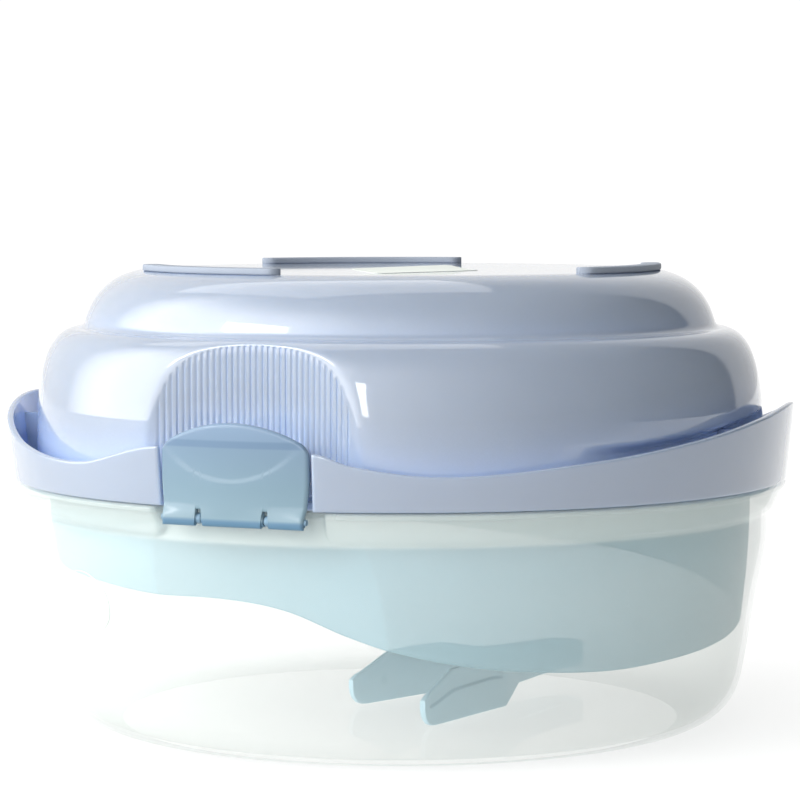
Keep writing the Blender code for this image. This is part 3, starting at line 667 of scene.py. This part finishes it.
def make_base_shell():
    """Tub with its flange, as one turned shell."""
    outer = base_profile()
    inner = offset(outer, BASE_WALL)
    inner[inner[:, 0] < BASE_UPPER_STEP[0][0] - 1.0, 1] = BASE_TOP_Z - BASE_WALL
    floor = PARTING_Z + GAP
    inner[-1] = (outer[-1, 0] - BASE_WALL, floor + 0.3)
    flange = np.array([(131.0, 89.9), (132.9, 89.8), (133.3, 89.4), (133.3, floor + 0.4),
                       (132.9, floor), (outer[-1, 0] - BASE_WALL + 0.3, floor)])
    profile = np.vstack((outer, flange, inner[::-1]))
    sides = np.concatenate((np.ones(len(outer) + len(flange)), -np.ones(len(inner))))
    angles = turn_angles(1.5, (0.0, 180.0), 17.6, 0.16)
    shell = lathe("base_shell", profile, sides, angles, base_shape, False)
    return dress(shell, MATERIALS["lavender_base"], "base", "lavender_base", "base_tub")


def skirt_section(phi):
    """Closed outline, in (r, z), of the flange and the skirt at an angle."""
    top = float(wave(SKIRT_EDGE, from_clip(phi)))
    floor = PARTING_Z + GAP
    outer_top, inner_top = skirt_radius(top), skirt_radius(top) - SKIRT_WALL
    foot = skirt_radius(SKIRT_FOOT_Z)
    outline = [(FLANGE_ROOT, floor), (SKIRT_RADIUS, floor), (foot, SKIRT_FOOT_Z), (outer_top, top),
               (inner_top, top), (foot - SKIRT_WALL, SKIRT_FOOT_Z + 1.0), (foot - SKIRT_WALL, FLANGE_TOP_Z),
               (FLANGE_ROOT, FLANGE_TOP_Z)]
    return rounded_loop(outline, SKIRT_ROUND)


def make_skirt(name, start, end):
    """Half of the skirt, from one clip opening to the other, with rounded ends."""
    round_off = np.radians(np.linspace(0.0, 80.0, 6))
    before = [(start - SKIRT_END_REACH * math.sin(a), SKIRT_ROUND * (1.0 - math.cos(a)))
              for a in round_off[::-1]]
    between = [(phi, 0.0) for phi in np.linspace(start, end, 150)[1:-1]]
    after = [(end + SKIRT_END_REACH * math.sin(a), SKIRT_ROUND * (1.0 - math.cos(a))) for a in round_off]
    rings = []
    for phi, shrink in before + between + after:
        section = skirt_section(min(max(phi, start), end))
        middle = np.array([skirt_radius(section[:, 1]) - SKIRT_WALL / 2.0, section[:, 1]]).T
        pull = np.clip(shrink / (SKIRT_WALL / 2.0), 0.0, 1.0)
        near_skirt = section[:, 0] > 134.0
        section[near_skirt, 0] += (middle[near_skirt, 0] - section[near_skirt, 0]) * pull
        angle = math.radians(phi)
        rings.append(np.column_stack((section[:, 0] * math.sin(angle), -section[:, 0] * math.cos(angle),
                                      section[:, 1])))
    skirt = sweep(name, rings)
    return dress(skirt, MATERIALS["lavender_base"], "base", "lavender_base")


def rounded_box(name, low, high, radius, segments=3):
    """Box between two corners, with all its edges rounded."""
    mesh = bpy.data.meshes.new(name)
    shape = bmesh.new()
    bmesh.ops.create_cube(shape, size=1.0)
    size, centre = Vector(high) - Vector(low), (Vector(high) + Vector(low)) / 2.0
    matrix = Matrix.Translation(centre * MM) @ Matrix.Diagonal((*(size * MM), 1.0))
    bmesh.ops.transform(shape, matrix=matrix, verts=shape.verts)
    bmesh.ops.bevel(shape, geom=shape.edges[:], offset=radius * MM, segments=segments, affect="EDGES")
    return finish_mesh(name, mesh, shape, 50.0)


def make_base():
    """Tub, skirt, catch ledges, and gussets between tub and skirt behind the handles."""
    make_base_shell()
    make_skirt("base_skirt_right", OPENING_ANGLE, 180.0 - OPENING_ANGLE)
    make_skirt("base_skirt_left", 180.0 + OPENING_ANGLE, 360.0 - OPENING_ANGLE)
    for side in ("front", "rear"):
        pieces = [rounded_box(f"catch_ledge_{side}", LEDGE_LOW, LEDGE_HIGH, 0.5)]
        for angle, root in GUSSETS:
            gusset = rounded_box(f"gusset_{side}_{angle:.0f}", (-GUSSET_HALF, -SKIRT_RADIUS + 0.1, 89.4),
                                 (GUSSET_HALF, -root, GUSSET_TOP_Z), 0.3)
            gusset.data.transform(Matrix.Rotation(math.radians(angle), 4, "Z"))
            pieces.append(gusset)
        for piece in pieces:
            if side == "rear":
                half_turn(piece)
            dress(piece, MATERIALS["lavender_base"], "base", "lavender_base")


# ---------------------------------------------------------------- tray

def make_tray():
    """Wall, rim and wavy collar as one turned shell, with the slotted floor set into it."""
    corner = bend((TRAY_FLOOR_RADIUS, TRAY_FLOOR_Z), (104.5, TRAY_FLOOR_Z), TRAY_SIDE[0], 12)
    wall_out = np.vstack((corner, spline(TRAY_SIDE, 3.0)[1:]))
    wall_in = offset(wall_out, TRAY_WALL)
    wall_in[0, 0] = TRAY_FLOOR_RADIUS
    wall_in[-1] = (wall_in[-1, 0], TRAY_RIM_UNDER_Z)
    flange = rounded_loop([TRAY_SIDE[-1], (TRAY_RIM_RADIUS, TRAY_RIM_Z), (TRAY_RIM_RADIUS, TRAY_RIM_UNDER_Z),
                           (126.2, TRAY_RIM_UNDER_Z)], 0.6)[5:-5]
    z = np.linspace(83.6, COLLAR_LOW_Z + 0.6, 44)
    collar_r = np.interp(z, (COLLAR_LOW_Z, 50.0, 66.0, COLLAR_TOP_Z), (122.6, 124.4, 125.3, 125.6))
    outside = np.column_stack((collar_r, z))
    hem = np.array([(122.3, COLLAR_LOW_Z + 0.1), (121.9, COLLAR_LOW_Z), (121.5, COLLAR_LOW_Z),
                    (121.1, COLLAR_LOW_Z + 0.1)])
    inside = np.column_stack((collar_r - TRAY_WALL, z))[::-1]
    profile = np.vstack((wall_out, flange, outside, hem, inside, wall_in[::-1]))
    sides = np.concatenate((np.ones(len(wall_out) + len(flange) + len(outside) + 2),
                            -np.ones(2 + len(inside) + len(wall_in))))

    def shape(r, phi, z, side):
        collar = (z < COLLAR_TOP_Z) & (r < 127.0)
        share = (COLLAR_TOP_Z - z) / (COLLAR_TOP_Z - COLLAR_LOW_Z)
        z = np.where(collar, COLLAR_TOP_Z - share * (COLLAR_TOP_Z - wave(COLLAR_EDGE, phi)), z)
        near = np.abs(from_clip(phi)) < 14.0
        r = np.where(near & (r > TRAY_RIM_CUT), TRAY_RIM_CUT, r)
        cosine = np.abs(np.cos(np.radians(phi)))
        lean = TRAY_FLAT_LEAN * (TRAY_FLAT_TOP_Z - z)
        flat = TRAY_FLAT_Y - lean - np.where(side < 0, TRAY_WALL, 0.0)
        facet = (r > 120.0) & (r < 127.0) & (r * cosine > flat)
        return np.where(facet, flat / np.maximum(cosine, 0.1), r), z

    facet_ends = (17.0, 343.0, 163.0, 197.0)
    wall = lathe("tray_wall", profile, sides, turn_angles(2.0, facet_ends, 5.0, 0.4), shape, True)
    dress(wall, MATERIALS["blue_tray"], "tray", "blue_tray", "basket_tray")
    dress(make_tray_floor(), MATERIALS["blue_tray"], "tray", "blue_tray")


def make_tray_floor():
    """Slotted floor plate: a flat outline with rounded slots, given its thickness."""
    curve = bpy.data.curves.new("tray_floor", "CURVE")
    curve.dimensions = "2D"
    curve.fill_mode = "BOTH"
    reach = TRAY_FLOOR_RADIUS + 2.0
    outlines = [[(reach * math.cos(a), reach * math.sin(a)) for a in np.radians(np.arange(0, 360, 3))]]
    half = SLOT_WIDTH / 2.0
    for inner, outer, count in SLOT_RINGS:
        for i in range(count):
            turn = 2.0 * math.pi * (i + 0.5) / count
            ends = [(outer - half, a) for a in np.linspace(-90, 90, 9)]
            ends += [(inner + half, a) for a in np.linspace(90, 270, 9)]
            slot = [(x + half * math.cos(math.radians(a)), half * math.sin(math.radians(a)))
                    for x, a in ends]
            cos, sin = math.cos(turn), math.sin(turn)
            outlines.append([(x * cos - y * sin, x * sin + y * cos) for x, y in slot])
    for outline in outlines:
        line = curve.splines.new("POLY")
        line.points.add(len(outline) - 1)
        for point, (x, y) in zip(line.points, outline):
            point.co = (x * MM, y * MM, 0.0, 1.0)
        line.use_cyclic_u = True
    curve.extrude = (TRAY_WALL / 2.0 - SLOT_EDGE) * MM
    curve.bevel_depth = SLOT_EDGE * MM
    curve.bevel_resolution = 1
    maker = link(bpy.data.objects.new("tray_floor_outline", curve))
    depsgraph = bpy.context.evaluated_depsgraph_get()
    mesh = bpy.data.meshes.new_from_object(maker.evaluated_get(depsgraph))
    bpy.data.objects.remove(maker)
    mesh.transform(Matrix.Translation((0.0, 0.0, (TRAY_FLOOR_Z - TRAY_WALL / 2.0 - 0.01) * MM)))
    shape = bmesh.new()
    shape.from_mesh(mesh)
    bmesh.ops.remove_doubles(shape, verts=shape.verts, dist=0.00001)
    bmesh.ops.recalc_face_normals(shape, faces=shape.faces)
    return finish_mesh("tray_floor", mesh, shape, 35.0)


# ---------------------------------------------------------------- clips

def clip_top(x):
    """Height of the clip's arched top edge, with round corners."""
    rise = CLIP_TOP_Z - CLIP_SHOULDER_Z
    radius = (CLIP_HALF ** 2 + rise ** 2) / (2.0 * rise)
    arch = CLIP_TOP_Z - radius + np.sqrt(radius ** 2 - x ** 2)
    past = np.maximum(np.abs(x) - (CLIP_HALF - CLIP_CORNER), 0.0)
    return arch - (CLIP_CORNER - np.sqrt(np.maximum(CLIP_CORNER ** 2 - past ** 2, 0.0)))


def clip_plate(name):
    """Curved plate with an arched top, rounded edges, a shallow thumb dimple and two notches."""
    edge_x = CLIP_HALF - np.array([0.0, 0.08, 0.25, 0.5, 0.8, 1.1, 1.5, 2.0, 2.6, 3.2, 4.0])
    notch_x = np.concatenate([np.arange(x - 0.9, x + 0.91, 0.3) for x in NOTCH])
    xs = np.unique(np.round(np.concatenate((edge_x, notch_x, np.arange(0.0, 22.0, 1.0))), 3))
    xs = np.concatenate((-xs[:0:-1], xs))
    share = np.concatenate(([0.0, 0.004, 0.012, 0.025, 0.045], np.linspace(0.06, 0.94, 60),
                            [0.955, 0.972, 0.985, 0.994, 1.0]))
    x = np.broadcast_to(xs[:, None], (len(xs), len(share)))
    notch = smoothstep(NOTCH[0] - 0.3, NOTCH[0] + 0.3, np.abs(x))
    notch = notch * (1.0 - smoothstep(NOTCH[1] - 0.3, NOTCH[1] + 0.3, np.abs(x)))
    bottom = CLIP_FOOT_Z + NOTCH_HEIGHT * notch
    z = bottom + share[None, :] * (clip_top(x) - bottom)
    narrow = CLIP_FOOT_NARROWER * (1.0 - smoothstep(HINGE_Z - 2.0, HINGE_Z + 14.0, z))
    x = x * (1.0 - narrow / CLIP_HALF)
    edge = np.minimum(np.minimum(CLIP_HALF - narrow - np.abs(x), clip_top(x) - z), z - bottom)
    from_edge = np.maximum(CLIP_ROUND - edge, 0.0)
    thin = np.sqrt(np.maximum(CLIP_ROUND ** 2 - from_edge ** 2, 0.0)) - CLIP_ROUND
    half = CLIP_WALL / 2.0
    from_centre = np.hypot(x - DIMPLE_PLACE[0], z - DIMPLE_PLACE[1])
    dimple = DIMPLE_DEPTH * (1.0 - smoothstep(DIMPLE_RADIUS, DIMPLE_RADIUS + 0.8, from_centre))
    dimple *= 1.0 - smoothstep(98.0, 113.0, z)
    curve = np.sqrt(CLIP_RADIUS ** 2 - x ** 2)
    flatter = 0.9 * (1.0 - smoothstep(HINGE_Z, HINGE_Z + 5.0, z))
    middle = curve + (CLIP_RADIUS - 0.1 - curve) * flatter - half
    front = -(middle + half + thin - dimple)
    back = -(middle - half - thin)
    faces = grid_faces(*x.shape, False, False)
    count = x.size
    verts = np.vstack([np.stack((x, y, z), axis=-1).reshape(-1, 3) for y in (front, back)])
    index = np.arange(count).reshape(x.shape)
    rim = np.concatenate((index[0, :], index[1:, -1], index[-1, -2::-1], index[-2:0:-1, 0]))
    sides = [(a, b, b + count, a + count) for a, b in zip(rim, np.roll(rim, -1))]
    return mesh_object(name, verts, [tuple(f) for f in faces] + [tuple(f[::-1] + count) for f in faces]
                       + sides, 50.0)


def tube(name, x_low, x_high, inner, outer):
    """Short tube round the hinge axis, with rounded ends."""
    loop = rounded_loop([(x_low, inner), (x_low, outer), (x_high, outer), (x_high, inner)], 0.3, 3)
    rings = np.array([[(x, HINGE_Y + r * math.cos(a), HINGE_Z + r * math.sin(a)) for x, r in loop]
                      for a in np.radians(np.arange(0.0, 360.0, 9.0))])
    faces = grid_faces(rings.shape[0], rings.shape[1], True, True)
    return mesh_object(name, rings.reshape(-1, 3), faces, 40.0)


def make_clip(side):
    """Plate with its catch bar and the three knuckles that turn on the hinge pin."""
    plate = clip_plate(f"{side}_clip_plate")
    catch = rounded_box(f"{side}_clip_catch", CATCH_LOW, CATCH_HIGH, 0.6)
    knuckles = [tube(f"{side}_clip_knuckle_{i + 1}", low, high, BORE_RADIUS, KNUCKLE_RADIUS)
                for i, (low, high) in enumerate(CLIP_KNUCKLES)]
    for piece in [plate, catch] + knuckles:
        if side == "rear":
            half_turn(piece)
        stands_for = [f"{side}_clip"] if piece is plate else []
        dress(piece, MATERIALS["blue_clip"], f"{side}_clip", "blue_clip", *stands_for)


# ---------------------------------------------------------------- tongs

def tongs_place(along, across):
    """Point at a distance along the tongs' middle line, from the tip, and across it."""
    angle = math.radians(TONGS_ANGLE)
    return (TONGS_TIP[0] + along * math.cos(angle) - across * math.sin(angle),
            TONGS_TIP[1] + along * math.sin(angle) + across * math.cos(angle))


def tongs_path(sign):
    """Plan of one arm's outer side, with the distance from its tip as the third number."""
    start = sign * TONGS_STAGGER
    bow_start = TONGS_LENGTH - TONGS_BOW_RADIUS
    paddle = [(start + s, TONGS_TIP_HALF - TONGS_TAPER * s, s)
              for s in (0.0, 0.4, 1.2, 3.0, 6.0, 12.0, 18.5, 30.0, 42.0, PADDLE_LENGTH)]
    along, across, _ = paddle[-1]
    shank = []
    for t in (0.2, 0.5, 0.8):
        run = (bow_start - along) * t
        shank.append((along + run, TONGS_BOW_RADIUS + (across - TONGS_BOW_RADIUS) * (1.0 - t) ** 1.5,
                      PADDLE_LENGTH + run))
    bow = [(bow_start + TONGS_BOW_RADIUS * math.sin(a), TONGS_BOW_RADIUS * math.cos(a), BOW_DISTANCE)
           for a in np.radians((0.0, 22.5, 45.0, 67.5))]
    end = [(TONGS_LENGTH, 1.6, BOW_DISTANCE), (TONGS_LENGTH, GAP / 2.0, BOW_DISTANCE)]
    return spline(paddle + shank + bow + end, 1.0)


def make_tongs_arm(name, sign, body, cad_node):
    """Arm with a raised grip pad on the outer side of its paddle."""
    path = tongs_path(sign)
    run = np.gradient(path[:, :2], axis=0)
    run /= np.linalg.norm(run, axis=1)[:, None]
    inward = np.column_stack((run[:, 1], -run[:, 0]))
    rings = []
    for (along, across, s), (in_along, in_across) in zip(path, inward):
        low = float(np.interp(s, *zip(*LOWER_EDGE)))
        high = float(np.interp(s, *zip(*UPPER_EDGE)))
        fold = low + (high - low) * 0.56 + 0.03 * min(s, 40.0)
        pad = PAD_DEPTH * float(smoothstep(2.0, 5.0, s) * (1.0 - smoothstep(46.0, PADDLE_LENGTH, s)))
        section = rounded_loop([(0.0, low), (0.0, fold - 0.5), (pad, fold + 0.3), (pad, high),
                                (TONGS_WALL, high), (TONGS_WALL, low)], 0.6, 4)
        rings.append([(*tongs_place(along + in_along * depth, sign * (across + in_across * depth)), z)
                      for depth, z in section])
    arm = sweep(name, rings, 50.0)
    return dress(arm, MATERIALS["blue_tongs"], body, "blue_tongs", cad_node)


# ---------------------------------------------------------------- feet and sticker

def make_foot(index, centre):
    """Arc strip with rounded ends and a rounded top."""
    low, high = BASE_TOP_Z - 0.1, FOOT_TOP_Z
    rings = []
    for phi in centre + np.linspace(-FOOT_SPAN / 2.0, FOOT_SPAN / 2.0, 60):
        from_end = math.radians(FOOT_SPAN / 2.0 - abs(phi - centre)) * FOOT_RADIUS
        round_off = max(FOOT_HALF - from_end, 0.0) / FOOT_HALF
        width = FOOT_HALF * math.sqrt(max(1.0 - round_off ** 2, 0.01))
        inner, outer = FOOT_RADIUS - width, FOOT_RADIUS + width
        section = rounded_loop([(inner, low), (inner, high), (outer, high), (outer, low)],
                               min(0.7, width * 0.8), 3)
        a = math.radians(phi)
        rings.append([(r * math.sin(a), -r * math.cos(a), z) for r, z in section])
    foot = sweep(f"foot_{index}", rings, 50.0)
    return dress(foot, MATERIALS["foot"], "base", "foot", f"foot_strip_{index}")


def make_sticker():
    """Thin label whose rear edge has come loose and lifts a little."""
    turn = math.radians(LABEL_ANGLE)
    long_way = np.array((math.cos(turn), math.sin(turn)))
    wide_way = np.array((-long_way[1], long_way[0]))
    length, width = LABEL_SIZE
    rings = []
    for t in np.linspace(0.0, 1.0, 28):
        end = min(t, 1.0 - t) * length
        inset = 1.0 - math.sqrt(max(1.0 - max(1.0 - end, 0.0) ** 2, 0.0))
        across = np.linspace(inset, width - inset, 16)
        lift = LABEL_LIFT * (across / width) ** 1.7 * (0.82 + 0.18 * t)
        low = BASE_TOP_Z + 0.02 + lift
        top = [(a, z + LABEL_THICKNESS) for a, z in zip(across, low)]
        under = list(zip(across, low))[::-1]
        start = np.array(LABEL_START) + long_way * t * length
        rings.append([(*(start + wide_way * a), z) for a, z in top + under])
    sticker = sweep("sticker", rings, 50.0)
    return dress(sticker, MATERIALS["label"], "base", "label", "base_sticker")


# ---------------------------------------------------------------- stage

def make_camera():
    data = bpy.data.cameras.new("camera")
    data.lens = CAMERA_LENS
    data.sensor_width = 36.0
    data.clip_end = 20.0
    camera = link(bpy.data.objects.new("camera", data))
    azimuth = math.radians(CAMERA_AZIMUTH)
    camera.location = Vector((CAMERA_DISTANCE * math.sin(azimuth), -CAMERA_DISTANCE * math.cos(azimuth),
                              CAMERA_HEIGHT)) * MM
    camera.rotation_euler = (math.radians(90.0 - CAMERA_PITCH), 0.0, azimuth)
    bpy.context.scene.camera = camera


def make_floor():
    """Wide white floor that glows a little, so that it stays white away from the part."""
    mesh = bpy.data.meshes.new("floor")
    shape = bmesh.new()
    bmesh.ops.create_circle(shape, cap_ends=True, radius=FLOOR_RADIUS_M, segments=64)
    shape.to_mesh(mesh)
    shape.free()
    floor = link(bpy.data.objects.new("floor", mesh))
    paper = new_material("floor_white", (0.3, 0.3, 0.3), 0.6, Specular_IOR_Level=0.1)
    shader = paper.node_tree.nodes["Principled BSDF"]
    shader.inputs["Emission Color"].default_value = (1.0, 1.0, 0.99, 1.0)
    shader.inputs["Emission Strength"].default_value = FLOOR_GLOW
    floor.data.materials.append(paper)


# Brightness of the studio by direction: degrees to the right of the camera's side, and strength
STUDIO = ((-180, 0.95), (-128, 0.95), (-108, 4.4), (-70, 5.2), (-42, 4.4), (-15, 2.1), (15, 0.95),
          (45, 0.34), (80, 0.1), (129, 0.05), (131, 0.6), (150, 0.7), (170, 0.95), (180, 0.95))
CEILING = (0.4, 0.41, 0.42)
CEILING_EDGE = (0.55, 0.95)
BACKDROP_STRENGTH = 1.05


def make_world():
    """White behind and on the left, darker round to the right, and plain white where it is seen."""
    world = bpy.data.worlds.new("studio")
    bpy.context.scene.world = world
    world.use_nodes = True
    world.node_tree.nodes.clear()
    place = node(world, "ShaderNodeTexCoord")
    azimuth = math.radians(CAMERA_AZIMUTH)
    to_right = (math.cos(azimuth), math.sin(azimuth), 0.0)
    to_camera = (math.sin(azimuth), -math.cos(azimuth), 0.0)
    angle = node(world, "ShaderNodeMath", operation="ARCTAN2")
    for i, axis in enumerate((to_right, to_camera)):
        facing = node(world, "ShaderNodeVectorMath", operation="DOT_PRODUCT")
        facing.inputs[1].default_value = axis
        wire(world, place, "Generated", facing, 0)
        wire(world, facing, "Value", angle, i)
    share = node(world, "ShaderNodeMapRange", From_Min=-math.pi, From_Max=math.pi)
    wire(world, angle, "Value", share, "Value")
    round_about = node(world, "ShaderNodeValToRGB")
    fill_ramp(round_about, [((degrees + 180.0) / 360.0, (strength,) * 3) for degrees, strength in STUDIO])
    wire(world, share, "Result", round_about, "Fac")
    split = node(world, "ShaderNodeSeparateXYZ")
    wire(world, place, "Generated", split, "Vector")
    above = node(world, "ShaderNodeMapRange", interpolation_type="SMOOTHSTEP",
                 From_Min=CEILING_EDGE[0], From_Max=CEILING_EDGE[1])
    wire(world, split, "Z", above, "Value")
    room = node(world, "ShaderNodeMix", data_type="RGBA")
    room.inputs[MIX_B].default_value = (*CEILING, 1.0)
    wire(world, above, "Result", room, "Factor")
    wire(world, round_about, "Color", room, MIX_A)
    lit = node(world, "ShaderNodeBackground")
    wire(world, room, MIX_RESULT, lit, "Color")
    seen = node(world, "ShaderNodeBackground", Color=(1.0, 1.0, 1.0, 1.0), Strength=BACKDROP_STRENGTH)
    path = node(world, "ShaderNodeLightPath")
    mix = node(world, "ShaderNodeMixShader")
    wire(world, path, "Is Camera Ray", mix, "Fac")
    wire(world, lit, "Background", mix, 1)
    wire(world, seen, "Background", mix, 2)
    wire(world, mix, "Shader", node(world, "ShaderNodeOutputWorld"), "Surface")
    bpy.context.scene.view_settings.view_transform = "Standard"


def add_softbox(name, place, target, size, power):
    """Rectangular lamp at a place in metres, turned to face its target."""
    data = bpy.data.lights.new(name, "AREA")
    data.shape = "RECTANGLE"
    data.size, data.size_y = size
    data.energy = power
    lamp = link(bpy.data.objects.new(name, data))
    lamp.location = place
    lamp.rotation_euler = (Vector(target) - Vector(place)).to_track_quat("-Z", "Y").to_euler()


make_camera()
make_floor()
make_world()
add_softbox("top_softbox", (-0.5, 0.5, 1.6), (0.0, 0.0, 0.1), (1.2, 1.2), 5.0)
add_softbox("left_window", (-0.70, -1.12, 0.80), (0.0, 0.0, 0.12), (0.6, 0.22), 5.0)
add_softbox("front_window", (0.22, -1.42, 0.54), (0.0, 0.0, 0.12), (0.16, 0.5), 2.5)
make_lid()
make_wall_mark()
make_base()
make_tray()
for clip_side in ("front", "rear"):
    make_clip(clip_side)
    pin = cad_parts[f"{clip_side}_clip_pin"]
    pin.data.materials.clear()
    pin.data.materials.append(MATERIALS["hinge_pin"])
make_tongs_arm("tongs_left", 1.0, "tongs", "tongs_left_arm")
make_tongs_arm("tongs_right", -1.0, "tongs_arm", "tongs_right_arm")
for foot_index, foot_centre in enumerate(FOOT_ANGLES):
    make_foot(foot_index + 1, foot_centre)
make_sticker()
